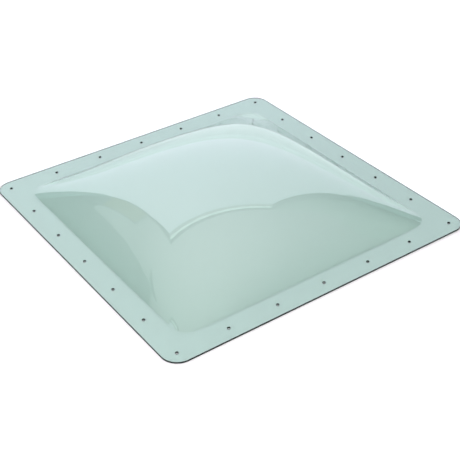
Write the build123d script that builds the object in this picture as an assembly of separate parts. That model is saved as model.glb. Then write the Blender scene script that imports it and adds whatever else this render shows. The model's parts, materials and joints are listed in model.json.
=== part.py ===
from build123d import *
import math
import os

import numpy as np

# Recreational vehicle skylight: one sheet of tinted polycarbonate, clamped round its edge, heated and
# blown up through a square frame into a low dome, then trimmed and drilled round its flat rim.
# The frame's origin is the middle of the rim's underside, with +Z up, away from the roof.
# Lengths are in millimetres.

# Driving dimensions
RIM_WIDTH = 660.4            # side of the square rim
RIM_CORNER_RADIUS = 31.75    # round of the rim's outer corners
FLANGE = 50.8                # flat part of the rim, from its outer edge to the foot of the dome
SHEET = 3.2                  # thickness of the flat sheet
CROWN_SHEET = 2.6            # thickness left at the crown, where blowing stretches the sheet most
DOME_RISE = 101.6            # height of the crown above the rim's top face
DOME_CORNER_RADIUS = 33.0    # round of the corners of the dome's square foot
FOLD_RADIUS = 6.0            # inside radius of the fold between rim and dome
SCREW_INSET = 25.4           # from the rim's outer edge to the line of screw holes
SCREWS_PER_SIDE = 7          # holes along each side, both corners counted
SCREW_HOLE = 5.6             # diameter of a screw hole
EDGE_BREAK = 0.4             # chamfer on the rim's trimmed outer edges

# Sizes that follow from them
DOME_HALF = RIM_WIDTH / 2 - FLANGE
SCREW_SPAN = RIM_WIDTH - 2 * SCREW_INSET

# How finely the blown surface is worked out
FILM_TERMS = 9               # terms of the series that gives the film's height
FILM_EDGE_POINTS = 120       # points of the clamped edge that the series is fitted to
NET_POINTS = 33              # points along each side of a surface's net
NET_DEGREE = 5               # degree of the surface laid through the net
NET_TOLERANCE = 0.01         # how near the surface passes to the points of its net


def film_series(half, corner):
    """Fits the height of a film that even pressure blows up through a rounded square.

    Such a film has the same sum of curvatures everywhere, so its height is a harmonic series less
    a share of the squared distance from the middle, and it is zero along the clamped edge. Returns
    the series, scaled to a height of 1 at the middle, and that share, for places in half widths.
    """
    straight = [complex(half, y) for y in np.linspace(0, half - corner, FILM_EDGE_POINTS)]
    middle = complex(half - corner, half - corner)
    turns = np.linspace(0, math.pi / 4, FILM_EDGE_POINTS // 3)[1:]
    rounded = [middle + corner * complex(math.cos(turn), math.sin(turn)) for turn in turns]
    edge = np.array(straight + rounded) / half
    waves = np.stack([(edge ** (4 * term)).real for term in range(FILM_TERMS)], axis=1)
    series = np.linalg.lstsq(waves, np.abs(edge) ** 2, rcond=None)[0]
    return series / series[0], 1 / series[0]


SERIES, SHARE = film_series(DOME_HALF, DOME_CORNER_RADIUS)


def film(x, y):
    """The film's height, 1 at the middle and 0 at the foot, and its slopes along X and Y."""
    place = complex(x, y) / DOME_HALF
    height = np.polyval(SERIES[::-1], place ** 4).real - SHARE * abs(place) ** 2
    steps = SERIES[1:] * 4 * np.arange(1, FILM_TERMS)
    change = np.polyval(steps[::-1], place ** 4) * place ** 3
    slope_x = (change.real - 2 * SHARE * place.real) / DOME_HALF
    slope_y = (-change.imag - 2 * SHARE * place.imag) / DOME_HALF
    return height, slope_x, slope_y


def outer_point(x, y):
    """The point of the dome's outer face at x, y."""
    height = film(x, y)[0]
    return Vector(x, y, SHEET + DOME_RISE * height)


def inner_point(x, y):
    """The point of the dome's inner face one wall thickness square below the outer face at x, y."""
    height, slope_x, slope_y = film(x, y)
    outwards = Vector(-DOME_RISE * slope_x, -DOME_RISE * slope_y, 1).normalized()
    wall = SHEET - (SHEET - CROWN_SHEET) * max(height, 0)
    return outer_point(x, y) - outwards * wall


def mound(point_at, foot):
    """The solid under one face of the dome, standing on the level of its foot."""
    reach = DOME_HALF + SHEET
    # The net is closer towards the corners, where the surface bends most
    steps = [reach * math.sin(math.pi / 2 * step) for step in np.linspace(-1, 1, NET_POINTS)]
    net = [[point_at(x, y) for x in steps] for y in steps]
    face = Face.make_surface_from_array_of_points(net, NET_TOLERANCE, None, NET_DEGREE, NET_DEGREE)
    block = extrude(face, amount=DOME_RISE + 4 * SHEET, dir=(0, 0, -1))
    return split(block, bisect_by=Plane.XY.offset(foot), keep=Keep.TOP)


def flat_sheet():
    """The trimmed sheet before blowing, with its outer edges broken."""
    sheet = extrude(RectangleRounded(RIM_WIDTH, RIM_WIDTH, RIM_CORNER_RADIUS), SHEET)
    return chamfer(sheet.faces().filter_by(Axis.Z).edges(), EDGE_BREAK)


def quarter(body):
    """The part of the body in the +X +Y quarter."""
    half = split(body, bisect_by=Plane.YZ, keep=Keep.TOP)
    return split(half, bisect_by=Plane.ZX, keep=Keep.TOP)


def fold_line(body, level):
    """The curved edge of the quarter where the dome meets the rim's flat face at a level."""
    flats = body.faces().filter_by(Axis.Z)
    rim = flats.filter_by_position(Axis.Z, level - SHEET / 4, level + SHEET / 4)[0]
    return rim.edges().filter_by(lambda edge: edge.geom_type not in (GeomType.LINE, GeomType.CIRCLE))


def screw_holes():
    """The holes, evenly spaced round a square with one at each corner."""
    pitch = SCREW_SPAN / (SCREWS_PER_SIDE - 1)
    inside = (SCREW_SPAN - pitch) / 2
    grid = GridLocations(pitch, pitch, SCREWS_PER_SIDE, SCREWS_PER_SIDE)
    ring = [place for place in grid if max(abs(place.position.X), abs(place.position.Y)) > inside]
    return extrude(Sketch() + [place * Circle(SCREW_HOLE / 2) for place in ring], SHEET)


def skylight_dome():
    """The sheet blown into a dome: rim and mound joined, hollowed from below, folded and drilled.

    The folds are rounded on one quarter, which is then mirrored, so that each fold is one smooth edge
    with an open end at either side.
    """
    body = quarter(flat_sheet() + mound(outer_point, SHEET))
    body = fillet(fold_line(body, SHEET), FOLD_RADIUS)
    body = body - mound(inner_point, 0)
    body = fillet(fold_line(body, 0), FOLD_RADIUS + SHEET)
    half = body + mirror(body, about=Plane.YZ)
    whole = half + mirror(half, about=Plane.ZX)
    return whole - screw_holes()


os.makedirs("parts", exist_ok=True)
export_step(skylight_dome(), "parts/skylight_dome.step")
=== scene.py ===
import json
import math

import bpy
import numpy as np
from mathutils import Matrix, Vector
from mathutils.geometry import delaunay_2d_cdt


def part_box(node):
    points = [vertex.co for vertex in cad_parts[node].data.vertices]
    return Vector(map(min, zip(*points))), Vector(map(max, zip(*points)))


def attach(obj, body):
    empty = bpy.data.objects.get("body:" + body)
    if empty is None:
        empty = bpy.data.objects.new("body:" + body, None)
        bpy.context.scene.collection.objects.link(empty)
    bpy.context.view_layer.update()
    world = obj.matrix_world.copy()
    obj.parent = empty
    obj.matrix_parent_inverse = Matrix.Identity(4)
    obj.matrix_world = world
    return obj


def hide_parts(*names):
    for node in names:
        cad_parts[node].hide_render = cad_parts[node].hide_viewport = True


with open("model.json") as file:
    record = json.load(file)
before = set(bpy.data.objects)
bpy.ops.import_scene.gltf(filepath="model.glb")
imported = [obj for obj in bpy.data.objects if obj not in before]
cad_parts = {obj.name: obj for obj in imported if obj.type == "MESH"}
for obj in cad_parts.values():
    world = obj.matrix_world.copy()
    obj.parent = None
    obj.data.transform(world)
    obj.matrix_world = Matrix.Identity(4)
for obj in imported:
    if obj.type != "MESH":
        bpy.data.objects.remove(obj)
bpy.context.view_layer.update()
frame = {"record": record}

# A recreational vehicle skylight: one sheet of tinted polycarbonate, blown into a low square dome, with
# a flat rim drilled for screws. It lies on a pale floor, dome up.
# Lengths are in metres, and sizes are written as millimetres times MM.

MM = 0.001

# Sizes read from the frame
NODE = "skylight_dome"
RIM_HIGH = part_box(NODE)[1]
SCREW_PATTERNS = [mount for mount in frame["record"]["mounts"] if mount["kind"] == "bolt_pattern"]
RIM_HALF = RIM_HIGH.x
SHEET = SCREW_PATTERNS[0]["pos_m"][2]
DOME_RISE = RIM_HIGH.z - SHEET
SCREW_HOLE_RADIUS = SCREW_PATTERNS[0]["dims"]["hole_r_mm"] * MM

# Sizes of the blown sheet
RIM_CORNER_RADIUS = 31.75 * MM
FLANGE = 50.8 * MM
CROWN_SHEET = 2.6 * MM
DOME_CORNER_RADIUS = 33.0 * MM
FOLD_RADIUS = 6.0 * MM
EDGE_BREAK = 0.4 * MM
DOME_HALF = RIM_HALF - FLANGE

# How finely the film is worked out and the skin is divided
FILM_TERMS = 9
FILM_EDGE_POINTS = 120
FOLD_HALVINGS = 40
SIDE_STEPS = 44
CORNER_STEPS = 20
DOME_RINGS = 64
FOLD_RINGS = 8
HOLE_STEPS = 32
EDGE_STEPS = 3

# How the flat rim is cut into triangles: over the whole hull of its points, merging only equal ones
WHOLE_HULL = 0
SAME_POINT = 1e-9


def film_series(half, corner):
    """Fits the height of a film that even pressure blows up through a rounded square.

    The height is a harmonic series less a share of the squared distance from the middle, and it is
    zero along the clamped edge. Returns the series, scaled to a height of 1, and that share.
    """
    straight = half + 1j * np.linspace(0, half - corner, FILM_EDGE_POINTS)
    turns = np.linspace(0, math.pi / 4, FILM_EDGE_POINTS // 3)[1:]
    rounded = (half - corner) * (1 + 1j) + corner * np.exp(1j * turns)
    edge = np.concatenate([straight, rounded]) / half
    waves = np.stack([(edge ** (4 * term)).real for term in range(FILM_TERMS)], axis=1)
    series = np.linalg.lstsq(waves, np.abs(edge) ** 2, rcond=None)[0]
    return series / series[0], 1 / series[0]


SERIES, SHARE = film_series(DOME_HALF, DOME_CORNER_RADIUS)


def film(places):
    """The dome's outer face at places x + iy: its height above the rim, and its normals' lean and rise."""
    unit = places / DOME_HALF
    height = DOME_RISE * (np.polyval(SERIES[::-1], unit**4).real - SHARE * abs(unit) ** 2)
    steps = SERIES[1:] * 4 * np.arange(1, FILM_TERMS)
    change = np.polyval(steps[::-1], unit**4) * unit**3
    slope = DOME_RISE * (np.conj(change) - 2 * SHARE * unit) / DOME_HALF
    length = np.sqrt(1 + abs(slope) ** 2)
    return height, -slope / length, 1 / length


def quarter_outline(half, corner):
    """One quarter of a rounded square, from the middle of the +X side to the middle of the +Y side."""
    run = np.linspace(0, half - corner, SIDE_STEPS // 2 + 1)
    turns = np.exp(1j * np.linspace(0, math.pi / 2, CORNER_STEPS + 1))[1:-1]
    places = np.concatenate([
        half + 1j * run,
        (half - corner) * (1 + 1j) + corner * turns,
        run[:0:-1] + 1j * half,
    ])
    outwards = np.concatenate([np.ones_like(run) + 0j, turns, np.full(len(run) - 1, 1j)])
    return places, outwards


def outline(half, corner):
    """Points x + iy round a rounded square, anticlockwise, and the outward direction at each."""
    places, outwards = quarter_outline(half, corner)
    turns = [1j**quarter for quarter in range(4)]
    all_places = np.concatenate([places * turn for turn in turns])
    all_outwards = np.concatenate([outwards * turn for turn in turns])
    return all_places, all_outwards


def with_height(places, heights):
    """Rows of x, y, z from places x + iy and heights."""
    return np.stack([places.real, places.imag, np.broadcast_to(heights, places.shape)], axis=1)


def fold_start():
    """The places on the dome where the ball that rolls round its foot leaves the film."""
    foot, outwards = outline(DOME_HALF, DOME_CORNER_RADIUS)
    low = np.zeros(len(foot))
    high = np.full(len(foot), 2 * FOLD_RADIUS)
    for _ in range(FOLD_HALVINGS):
        inset = (low + high) / 2
        height, _, upright = film(foot - outwards * inset)
        beyond = height > FOLD_RADIUS * (1 - upright)
        high = np.where(beyond, inset, high)
        low = np.where(beyond, low, inset)
    return foot - outwards * low


def blown_rings():
    """Rings of points and normals over the outer face, from the middle to where the rim turns flat."""
    edge = fold_start()
    rings = []
    # The rings are closer towards the foot, where the film bends most
    for ring in range(1, DOME_RINGS + 1):
        places = edge * math.sin(math.pi / 2 * ring / DOME_RINGS)
        height, lean, upright = film(places)
        rings.append((with_height(places, SHEET + height), with_height(lean, upright)))
    tilt = np.arccos(upright)
    away = lean / abs(lean)
    middle = edge + FOLD_RADIUS * lean
    for ring in range(1, FOLD_RINGS + 1):
        turn = tilt * (1 - ring / FOLD_RINGS)
        places = middle - FOLD_RADIUS * np.sin(turn) * away
        height = SHEET + FOLD_RADIUS * (1 - np.cos(turn))
        rings.append((with_height(places, height), with_height(np.sin(turn) * away, np.cos(turn))))
    return rings


def below(points, normals):
    """The sheet's inner face under these outer points: the wall thins as the dome rises."""
    share = (points[:, 2:] - SHEET) / DOME_RISE
    return points - normals * (SHEET - (SHEET - CROWN_SHEET) * share)


class Skin:
    """The closed skin of the sheet, with the true normal at every corner of every face."""

    def __init__(self):
        self.points = []
        self.faces = []
        self.normals = []
        self.finishes = []

    def add_points(self, points):
        first = len(self.points)
        self.points.extend(tuple(point) for point in points)
        return list(range(first, len(self.points)))

    def add_face(self, corners, normals, finish):
        self.faces.append(corners)
        self.normals.extend(tuple(normal) for normal in normals)
        self.finishes.append(finish)

    def add_band(self, ring, next_ring, normals, next_normals, finish):
        """Adds the faces between two rings of points.

        Seen from outside the sheet, the second ring is on the right when walking round the first.
        """
        count = len(ring)
        for here in range(count):
            there = (here + 1) % count
            corners = [ring[here], next_ring[here], next_ring[there], ring[there]]
            facing = [normals[here], next_normals[here], next_normals[there], normals[there]]
            self.add_face(corners, facing, finish)


# The sheet's two finishes, by the order of its materials
GLOSS, ROUTED = 0, 1


def add_blown_part(skin):
    """Adds the dome and its fold, outer and inner face. Returns the rings where the rim turns flat."""
    outer = blown_rings()
    inner = [(below(points, normals), -normals) for points, normals in outer]
    ends = []
    for rings, up in ((outer, True), (inner, False)):
        top = np.array([[0, 0, SHEET + DOME_RISE]])
        facing = (0, 0, 1) if up else (0, 0, -1)
        if not up:
            top = below(top, np.array([[0, 0, 1]]))
        crown = skin.add_points(top)[0]
        last, last_normals = skin.add_points(rings[0][0]), rings[0][1]
        count = len(last)
        for here in range(count):
            there = (here + 1) % count
            corners = [crown, last[here], last[there]]
            normals = [facing, last_normals[here], last_normals[there]]
            skin.add_face(corners if up else corners[::-1], normals if up else normals[::-1], GLOSS)
        for points, normals in rings[1:]:
            ring = skin.add_points(points)
            if up:
                skin.add_band(last, ring, last_normals, normals, GLOSS)
            else:
                skin.add_band(ring, last, normals, last_normals, GLOSS)
            last, last_normals = ring, normals
        ends.append(last)
    return ends


def screw_places():
    """Where the screw holes are, from the record's bolt patterns."""
    places = set()
    for pattern in SCREW_PATTERNS:
        across = pattern["dims"].get("spacing_x_mm", 0) / 2
        along = pattern["dims"].get("spacing_y_mm", 0) / 2
        places |= {complex(x, y) for x in (across, -across) for y in (along, -along)}
    return [place * MM for place in sorted(places, key=lambda place: (place.real, place.imag))]


# The flat rim lies between closed loops of points: the fold's end, the rim's own edge, then each hole's
RIM_LOOP = 1


def add_rim(skin, fold_ends):
    """Adds the flat rim, its routed edge and its screw holes."""
    top_end, under_end = fold_ends
    rim, outwards = outline(RIM_HALF, RIM_CORNER_RADIUS)
    flat_edge = rim - EDGE_BREAK * outwards
    round_hole = SCREW_HOLE_RADIUS * np.exp(2j * math.pi * np.arange(HOLE_STEPS) / HOLE_STEPS)
    holes = [place + round_hole for place in screw_places()]
    loops = [np.array([complex(*skin.points[i][:2]) for i in top_end]), flat_edge, *holes]
    tops = [top_end] + [skin.add_points(with_height(loop, SHEET)) for loop in loops[1:]]
    unders = [under_end] + [skin.add_points(with_height(loop, 0)) for loop in loops[1:]]

    # Triangles between the loops, without those that lie wholly in the dome or in a hole
    places = np.concatenate(loops)
    loop_of = np.repeat(np.arange(len(loops)), [len(loop) for loop in loops])
    starts = np.cumsum([0] + [len(loop) for loop in loops])
    edges = []
    for start, loop in zip(starts, loops):
        edges.extend((start + i, start + (i + 1) % len(loop)) for i in range(len(loop)))
    points = [Vector((place.real, place.imag)) for place in places]
    found = delaunay_2d_cdt(points, edges, [], WHOLE_HULL, SAME_POINT)
    triangles, sources = found[2], found[3]
    origin = [source[0] for source in sources]
    top_index = np.concatenate(tops)
    under_index = np.concatenate(unders)
    for triangle in triangles:
        corners = [origin[i] for i in triangle]
        owners = {loop_of[i] for i in corners}
        if len(owners) == 1 and owners != {RIM_LOOP}:
            continue
        skin.add_face([int(top_index[i]) for i in corners], [(0, 0, 1)] * 3, GLOSS)
        skin.add_face([int(under_index[i]) for i in corners[::-1]], [(0, 0, -1)] * 3, GLOSS)

    # The edge of the rim, with both its arrises rounded
    turns = np.linspace(math.pi / 2, 0, EDGE_STEPS + 1)
    profile = [(turn, SHEET - EDGE_BREAK) for turn in turns]
    profile += [(-turn, EDGE_BREAK) for turn in turns[::-1]]
    last, last_normals = tops[RIM_LOOP], with_height(outwards * 0, 1)
    for turn, level in profile[1:]:
        normals = with_height(outwards * math.cos(turn), math.sin(turn))
        round_edge = flat_edge + outwards * EDGE_BREAK * math.cos(turn)
        points = with_height(round_edge, level + EDGE_BREAK * math.sin(turn))
        ring = unders[RIM_LOOP] if turn == profile[-1][0] else skin.add_points(points)
        skin.add_band(last, ring, last_normals, normals, ROUTED)
        last, last_normals = ring, normals

    # The walls of the screw holes
    facing = with_height(-round_hole / SCREW_HOLE_RADIUS, 0)
    for top, under in zip(tops[RIM_LOOP + 1 :], unders[RIM_LOOP + 1 :]):
        skin.add_band(under, top, facing, facing, ROUTED)


def linear(hex_code):
    """An sRGB hex colour as linear red, green and blue."""
    parts = [int(hex_code[i : i + 2], 16) / 255 for i in (1, 3, 5)]
    return [part / 12.92 if part <= 0.04045 else ((part + 0.055) / 1.055) ** 2.4 for part in parts]


def add_node(tree, kind, settings=None, **links):
    """Adds a node to a tree, sets its properties and sockets, and links its inputs."""
    node = tree.nodes.new(kind)
    for name, value in (settings or {}).items():
        if name in node.inputs:
            node.inputs[name].default_value = value
        else:
            setattr(node, name, value)
    for name, source in links.items():
        tree.links.new(source, node.inputs[name.replace("_", " ")])
    return node


# A lightly tinted sheet looks deep green through its edge: TINT_HEX is what 10 mm of it lets through
POLYCARBONATE_IOR = 1.585
TINT_HEX = "#87AC9E"
TINT_DEPTH = 10 * MM
DYE_HEADROOM = 1.15          # keeps each part of the dye's colour above zero


def dye():
    """The colour and density of the tint, which takes the same share of the light from every millimetre."""
    taken = [-math.log(part) / TINT_DEPTH for part in linear(TINT_HEX)]
    density = DYE_HEADROOM * max(taken)
    kept = [1 - part / density for part in taken]
    return {"Color": (*kept, 1), "Density": density}


# Blowing leaves long, very low waves in the sheet, from the frame's grip and uneven heat. Its shipping
# film and wiping leave fine scratches: the highest crests of a noise, drawn wider than real hairlines so
# that they show from near by
FORMING_WAVE = 90 * MM
FORMING_DEPTH = 0.02 * MM
SCRATCH_SPACING = 0.9 * MM
SCRATCH_LENGTH = 60 * MM
SCRATCH_CRESTS = (0.62, 0.75)
SCRATCH_ROUGHNESS = 0.05

# A router leaves close, upright ripples, drawn coarser than its cutter's real marks so that they show.
# The cut face is dull. Its near-black colour is painted shade for the dark line that the sheet's edge and
# its holes show
ROUTER_STEP = 0.6 * MM
ROUTER_DEPTH = 0.03 * MM
ROUTER_STRETCH = 10
ROUTED_PAINTED_SHADE_HEX = "#060A09"
ROUTED_ROUGHNESS = (0.25, 0.5)
ROUTED_GLOSS = 0.1
RIPPLE_STRENGTH = 0.6


def new_tree(name):
    """A material of this name, with an empty tree."""
    material = bpy.data.materials.new(name)
    material.use_nodes = True
    material.node_tree.nodes.clear()
    return material, material.node_tree


def blown_material():
    """Tinted polycarbonate as the blowing frame leaves it: glossy and clear, with faint waves and marks."""
    material, tree = new_tree("tinted polycarbonate, blown")
    place = add_node(tree, "ShaderNodeTexCoord").outputs["Object"]
    waves = add_node(tree, "ShaderNodeTexNoise", {"Scale": 1 / FORMING_WAVE}, Vector=place)
    bump = add_node(tree, "ShaderNodeBump", {"Distance": FORMING_DEPTH}, Height=waves.outputs[0])
    along = add_node(tree, "ShaderNodeMapping", {
        "Scale": (SCRATCH_SPACING / SCRATCH_LENGTH, 1, 1),
    }, Vector=place)
    scratches = add_node(tree, "ShaderNodeTexNoise", {
        "Scale": 1 / SCRATCH_SPACING,
        "Detail": 0.0,
    }, Vector=along.outputs[0])
    gloss = add_node(tree, "ShaderNodeMapRange", {
        "From Min": SCRATCH_CRESTS[0],
        "From Max": SCRATCH_CRESTS[1],
        "To Min": 0.0,
        "To Max": SCRATCH_ROUGHNESS,
    }, Value=scratches.outputs[0])
    surface = add_node(tree, "ShaderNodeBsdfPrincipled", {
        "Base Color": (1, 1, 1, 1),
        "IOR": POLYCARBONATE_IOR,
        "Transmission Weight": 1.0,
    }, Roughness=gloss.outputs[0], Normal=bump.outputs[0])
    inside = add_node(tree, "ShaderNodeVolumeAbsorption", dye())
    add_node(tree, "ShaderNodeOutputMaterial", Surface=surface.outputs[0], Volume=inside.outputs[0])
    return material


def routed_material():
    """The same sheet where a router trimmed and drilled it: a rippled, dull face, painted nearly black as
    shade.
    """
    material, tree = new_tree("tinted polycarbonate, routed edge")
    place = add_node(tree, "ShaderNodeTexCoord")
    upright = add_node(tree, "ShaderNodeMapping", {
        "Scale": (1, 1, 1 / ROUTER_STRETCH),
    }, Vector=place.outputs["Object"])
    ripples = add_node(tree, "ShaderNodeTexNoise", {
        "Scale": 1 / ROUTER_STEP,
        "Detail": 1.0,
    }, Vector=upright.outputs[0])
    bump = add_node(tree, "ShaderNodeBump", {
        "Strength": RIPPLE_STRENGTH,
        "Distance": ROUTER_DEPTH,
    }, Height=ripples.outputs[0])
    dullness = add_node(tree, "ShaderNodeMapRange", {
        "To Min": ROUTED_ROUGHNESS[0],
        "To Max": ROUTED_ROUGHNESS[1],
    }, Value=ripples.outputs[0])
    # The near-black base colour is painted shade on the rim's edge and the hole walls
    surface = add_node(tree, "ShaderNodeBsdfPrincipled", {
        "Base Color": (*linear(ROUTED_PAINTED_SHADE_HEX), 1),
        "IOR": POLYCARBONATE_IOR,
        "Specular IOR Level": ROUTED_GLOSS,
    }, Roughness=dullness.outputs[0], Normal=bump.outputs[0])
    inside = add_node(tree, "ShaderNodeVolumeAbsorption", dye())
    add_node(tree, "ShaderNodeOutputMaterial", Surface=surface.outputs[0], Volume=inside.outputs[0])
    return material


def build_sheet():
    """The whole sheet as one piece, with its two finishes."""
    skin = Skin()
    add_rim(skin, add_blown_part(skin))
    mesh = bpy.data.meshes.new("blown_sheet")
    mesh.from_pydata(skin.points, [], skin.faces)
    mesh.materials.append(blown_material())
    mesh.materials.append(routed_material())
    mesh.polygons.foreach_set("material_index", skin.finishes)
    mesh.shade_smooth()
    mesh.normals_split_custom_set(skin.normals)
    piece = bpy.data.objects.new("blown_sheet", mesh)
    bpy.context.scene.collection.objects.link(piece)
    return piece


sheet = build_sheet()
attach(sheet, "root")
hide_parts(NODE)


def light_material(name, hex_code, strength, fade=None):
    """A light panel's glow: even, or changing to the fade's end strength along its gradient."""
    material, tree = new_tree(name)
    light = add_node(tree, "ShaderNodeEmission", {"Color": (*linear(hex_code), 1), "Strength": strength})
    add_node(tree, "ShaderNodeOutputMaterial", Surface=light.outputs[0])
    if fade:
        place = add_node(tree, "ShaderNodeTexCoord")
        centred = add_node(tree, "ShaderNodeMapping", {
            "vector_type": "TEXTURE",
            "Location": fade["centre"],
            "Scale": (fade["reach"], fade["reach"], 1),
        }, Vector=place.outputs["Object"])
        way = add_node(tree, "ShaderNodeTexGradient", {
            "gradient_type": fade["kind"],
        }, Vector=centred.outputs[0])
        changing = add_node(tree, "ShaderNodeMapRange", {
            "From Min": fade["start"],
            "From Max": fade["end"],
            "To Min": strength,
            "To Max": fade["end_strength"],
        }, Value=way.outputs["Fac"])
        tree.links.new(changing.outputs[0], light.inputs["Strength"])
    return material


def stage_piece(name, points, faces, material):
    """A piece of the studio, which isn't part of the object."""
    mesh = bpy.data.meshes.new(name)
    mesh.from_pydata(points, [], faces)
    mesh.materials.append(material)
    piece = bpy.data.objects.new(name, mesh)
    bpy.context.scene.collection.objects.link(piece)
    return piece


# The floor is matt white paper, pulled flat, with the tooth of uncoated stock, drawn coarse enough to show
FLOOR_HALF = 30000 * MM
FLOOR_LEVEL = -0.4 * MM
PAPER_HEX = "#F7F7F7"
PAPER_TOOTH = 0.5 * MM
PAPER_DEPTH = 0.01 * MM
PAPER_ROUGHNESS = (0.95, 0.85)


def floor_material():
    """Uncoated white paper: dull all over, a little duller in the pits of its tooth."""
    material, tree = new_tree("uncoated white paper")
    place = add_node(tree, "ShaderNodeTexCoord")
    tooth = add_node(tree, "ShaderNodeTexNoise", {"Scale": 1 / PAPER_TOOTH}, Vector=place.outputs["Object"])
    bump = add_node(tree, "ShaderNodeBump", {"Distance": PAPER_DEPTH}, Height=tooth.outputs[0])
    dullness = add_node(tree, "ShaderNodeMapRange", {
        "To Min": PAPER_ROUGHNESS[0],
        "To Max": PAPER_ROUGHNESS[1],
    }, Value=tooth.outputs[0])
    surface = add_node(tree, "ShaderNodeBsdfPrincipled", {
        "Base Color": (*linear(PAPER_HEX), 1),
        "Specular IOR Level": 0.0,
    }, Roughness=dullness.outputs[0], Normal=bump.outputs[0])
    add_node(tree, "ShaderNodeOutputMaterial", Surface=surface.outputs[0])
    return material


def lay_floor():
    """The paper floor, with a thin air gap between it and the rim."""
    sides = ((-1, -1), (1, -1), (1, 1), (-1, 1))
    corners = [(x * FLOOR_HALF, y * FLOOR_HALF, FLOOR_LEVEL) for x, y in sides]
    stage_piece("floor", corners, [(0, 1, 2, 3)], floor_material())


lay_floor()

# The camera stands at the photograph's angle
CAMERA_AIM = Vector((-38.66, -77.64, 3.2)) * MM
CAMERA_DISTANCE = 1865.3 * MM
CAMERA_TURN = math.radians(-34.852)
CAMERA_PITCH = math.radians(34.897)
CAMERA_ROLL = math.radians(-1.135)
CAMERA_LENS = 77.934
CAMERA_SENSOR = 36


def place_camera():
    """The camera, turned, pitched and rolled about its aim and drawn back from it."""
    camera = bpy.data.cameras.new("camera")
    camera.lens = CAMERA_LENS
    camera.sensor_width = CAMERA_SENSOR
    turn = Matrix.Rotation(CAMERA_TURN, 4, "Z")
    pitch = Matrix.Rotation(math.pi / 2 - CAMERA_PITCH, 4, "X")
    roll = Matrix.Rotation(CAMERA_ROLL, 4, "Z")
    back = Matrix.Translation((0, 0, CAMERA_DISTANCE))
    piece = bpy.data.objects.new("camera", camera)
    bpy.context.scene.collection.objects.link(piece)
    piece.matrix_world = Matrix.Translation(CAMERA_AIM) @ turn @ pitch @ roll @ back
    bpy.context.scene.camera = piece


place_camera()


# The studio. Light panels hang on one level over the object: a bright one behind it, a dimmer one over
# its near side, a narrow lamp in the gap between them, and others round the rest. A low white wall
# closes the horizon, the floor behind the object is a lit table, and two upright black cards end the
# bright panel's reflection low down. The sheet mirrors all of them, and only the table and the wall
# show to the camera.
PANEL_LEVEL = 1000 * MM
BACK_LEFT = complex(-354, 521) * MM
BACK_RIGHT = complex(587, 33) * MM
EDGE_WAY = (BACK_RIGHT - BACK_LEFT) / abs(BACK_RIGHT - BACK_LEFT)
NEAR_WAY = EDGE_WAY * -1j
LAMP_FROM = 30 * MM
LAMP_TO = 49 * MM
FRONT_FROM = 78 * MM
FRONT_LEFT = BACK_LEFT + NEAR_WAY * FRONT_FROM
FRONT_RIGHT = BACK_RIGHT + NEAR_WAY * FRONT_FROM
FRONT_CORNER = complex(1000, -200) * MM
FRONT_END = complex(860, -1600) * MM
FRONT_MIDDLE = (-638 * MM, -354 * MM, PANEL_LEVEL)
FRONT_REACH = 1267 * MM
FILL_CORNER = complex(-1400, -1600) * MM
FILL_LEFT = complex(-1400, 700) * MM
WALL_HEIGHT = 2400 * MM
WALL_STEPS = 64
TABLE_SIDE = 333 * MM
TABLE_REACH = 6000 * MM
TABLE_OVERLAP = 1500 * MM
TABLE_RISE = 0.1 * MM
DAYLIGHT_HEX = "#F2FAFF"
WORLD_GLOW = 0.05

# The rest of the panels' outlines and the corners of the black cards, in plain millimetres
FAR = 9000
BACK_RIGHT_EDGE = [(1120, 205), (1770, 450), (FAR, 2600), (FAR, FAR)]
BACK_LEFT_EDGE = [(-800, FAR), (-430, 2600), (-397, 1620), (-397, 850)]
FRONT_LEFT_EDGE = [
    (-420, 890), (-600, 1000), (-600, 1650), (-700, 1650), (-830, 1300),
    (-862, 1000), (-840, 835), (-800, 752), (-697, 679),
]
WARM_CARD = [(-410, 910), (-410, 1600), (-585, 1600), (-585, 1020)]
SIDE_RIGHT_EDGE = [(FAR, -1600), (FAR, 3200), (1300, 150)]
FILL_RIGHT_EDGE = [(FAR, -1600), (FAR, -FAR)]
FILL_LEFT_EDGE = [(-FAR, -FAR), (-FAR, 8000), (-6000, 8000), (-1500, 1300)]
LEFT_FLAG = [(-194, 624, 0), (-257, 624, 360), (-1100, 624, 360), (-1100, 624, 0)]
RIGHT_FLAG = [(1000, 170, 0), (1000, 170, 520), (1000, -400, 520), (1000, -400, 0)]


def in_metres(pairs):
    """Places x + iy from pairs of millimetres."""
    return [complex(*pair) * MM for pair in pairs]


def heading(degrees):
    """A compass direction, counted from +X towards +Y, as a share of the radial gradient's turn."""
    return 0.5 + degrees / 360


def strip(start, stop):
    """The corners of a strip along the back panel's near edge, this far in front of it."""
    near, far = NEAR_WAY * start, NEAR_WAY * stop
    return [BACK_LEFT + near, BACK_LEFT + far, BACK_RIGHT + far, BACK_RIGHT + near]


def hang_panel(name, corners, material):
    """A light panel over the object, seen in the sheet and not by the camera."""
    points = [(corner.real, corner.imag, PANEL_LEVEL) for corner in corners]
    piece = stage_piece(name, points, [list(range(len(points)))], material)
    piece.visible_camera = False


def hang_far_panels():
    """The bright panel behind the object, and the card and the lamp in the gap before it."""
    corners = [BACK_LEFT, BACK_RIGHT, *in_metres(BACK_RIGHT_EDGE), *in_metres(BACK_LEFT_EDGE)]
    # It grows brighter from the camera's right to its left
    glow = light_material("back panel", "#F4F1FF", strength=1.65, fade={
        "kind": "RADIAL",
        "centre": (0, 0, 0),
        "reach": 1,
        "start": heading(25),
        "end": heading(100),
        "end_strength": 2.0,
    })
    hang_panel("back_panel", corners, glow)
    hang_panel("gap_card", strip(0, LAMP_FROM), light_material("gap card", "#FFFFFF", strength=0.7))
    hang_panel("gap_lamp", strip(LAMP_FROM, LAMP_TO), light_material("gap lamp", "#FFFFFF", strength=2.3))


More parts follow.
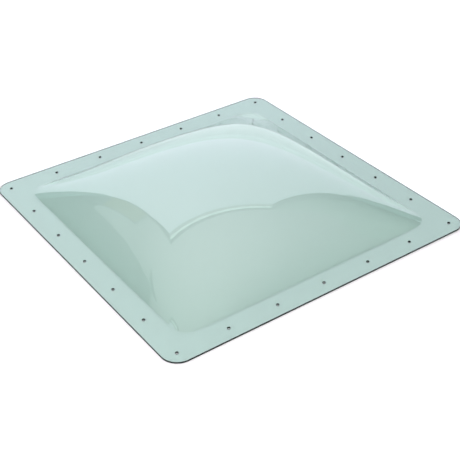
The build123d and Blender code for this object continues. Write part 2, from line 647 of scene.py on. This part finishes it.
def hang_near_panels():
    """The dimmer panels over the object's near and right sides, and the one that fills the rest."""
    corners = [FRONT_LEFT, *in_metres(FRONT_LEFT_EDGE), FILL_LEFT, FILL_CORNER]
    corners += [FRONT_END, FRONT_CORNER, FRONT_RIGHT]
    # It is brightest at its middle and dims all round it
    glow = light_material("front panel", "#FFF7FB", strength=0.6, fade={
        "kind": "SPHERICAL",
        "centre": FRONT_MIDDLE,
        "reach": FRONT_REACH,
        "start": 0,
        "end": 1,
        "end_strength": 1.85,
    })
    hang_panel("front_panel", corners, glow)
    # The sheet mirrors a dim warm card at the upper end of the crescent on its left
    hang_panel("warm_card", in_metres(WARM_CARD), light_material("warm card", "#FFDC6A", strength=0.3))

    corners = [FRONT_RIGHT, FRONT_CORNER, FRONT_END, *in_metres(SIDE_RIGHT_EDGE)]
    # It fades out towards the back panel
    glow = light_material("side panel", "#F6FFF8", strength=0.62, fade={
        "kind": "RADIAL",
        "centre": (0, 0, 0),
        "reach": 1,
        "start": heading(-12),
        "end": heading(18),
        "end_strength": 0.02,
    })
    hang_panel("side_panel", corners, glow)

    corners = [FILL_LEFT, FILL_CORNER, *in_metres(FILL_RIGHT_EDGE), *in_metres(FILL_LEFT_EDGE)]
    hang_panel("fill_panel", corners, light_material("fill panel", "#FFFFFF", strength=2.2))


def raise_wall():
    """A low white wall all round, far off, that closes the horizon."""
    points = []
    faces = []
    for step in range(WALL_STEPS):
        place = FAR * MM * np.exp(2j * math.pi * step / WALL_STEPS)
        points.extend((place.real, place.imag, level) for level in (FLOOR_LEVEL, WALL_HEIGHT))
        here, there = 2 * step, 2 * ((step + 1) % WALL_STEPS)
        faces.append((here, there, there + 1, here + 1))
    stage_piece("white_wall", points, faces, light_material("white wall", DAYLIGHT_HEX, strength=1.45))


def light_table():
    """The lit floor behind the object, which the far slopes of the dome mirror."""
    sides = [
        (-TABLE_OVERLAP, TABLE_SIDE),
        (TABLE_SIDE, TABLE_SIDE),
        (TABLE_SIDE, -TABLE_OVERLAP),
        (TABLE_REACH, -TABLE_OVERLAP),
        (TABLE_REACH, TABLE_REACH),
        (-TABLE_OVERLAP, TABLE_REACH),
    ]
    corners = [(x, y, FLOOR_LEVEL + TABLE_RISE) for x, y in sides]
    glow = light_material("lit table", DAYLIGHT_HEX, strength=1.3)
    stage_piece("lit_table", corners, [list(range(len(corners)))], glow)


def stand_flag(name, corners):
    """An upright black card that ends the bright panel low down. Only the sheet's gloss shows it."""
    points = [Vector(corner) * MM for corner in corners]
    black = light_material("black flag", "#000000", strength=0.0)
    piece = stage_piece(name, points, [(0, 1, 2, 3)], black)
    piece.visible_camera = False
    piece.visible_diffuse = False
    piece.visible_transmission = False


def light_world():
    """A faint white glow from all round, besides the panels' light."""
    world = bpy.data.worlds.new("studio")
    bpy.context.scene.world = world
    world.use_nodes = True
    background = world.node_tree.nodes["Background"]
    background.inputs["Color"].default_value = (1, 1, 1, 1)
    background.inputs["Strength"].default_value = WORLD_GLOW


hang_far_panels()
hang_near_panels()
raise_wall()
light_table()
stand_flag("left_flag", LEFT_FLAG)
stand_flag("right_flag", RIGHT_FLAG)
light_world()

# Light crosses the clear sheet many times on its way out, and every reflection in it stays sharp
CLEAR_BOUNCES = 24
GLOSS_BOUNCES = 16
scene = bpy.context.scene
scene.view_settings.view_transform = "Standard"
scene.cycles.max_bounces = CLEAR_BOUNCES
scene.cycles.transmission_bounces = CLEAR_BOUNCES
scene.cycles.glossy_bounces = GLOSS_BOUNCES
scene.cycles.blur_glossy = 0
scene.cycles.use_denoising = True
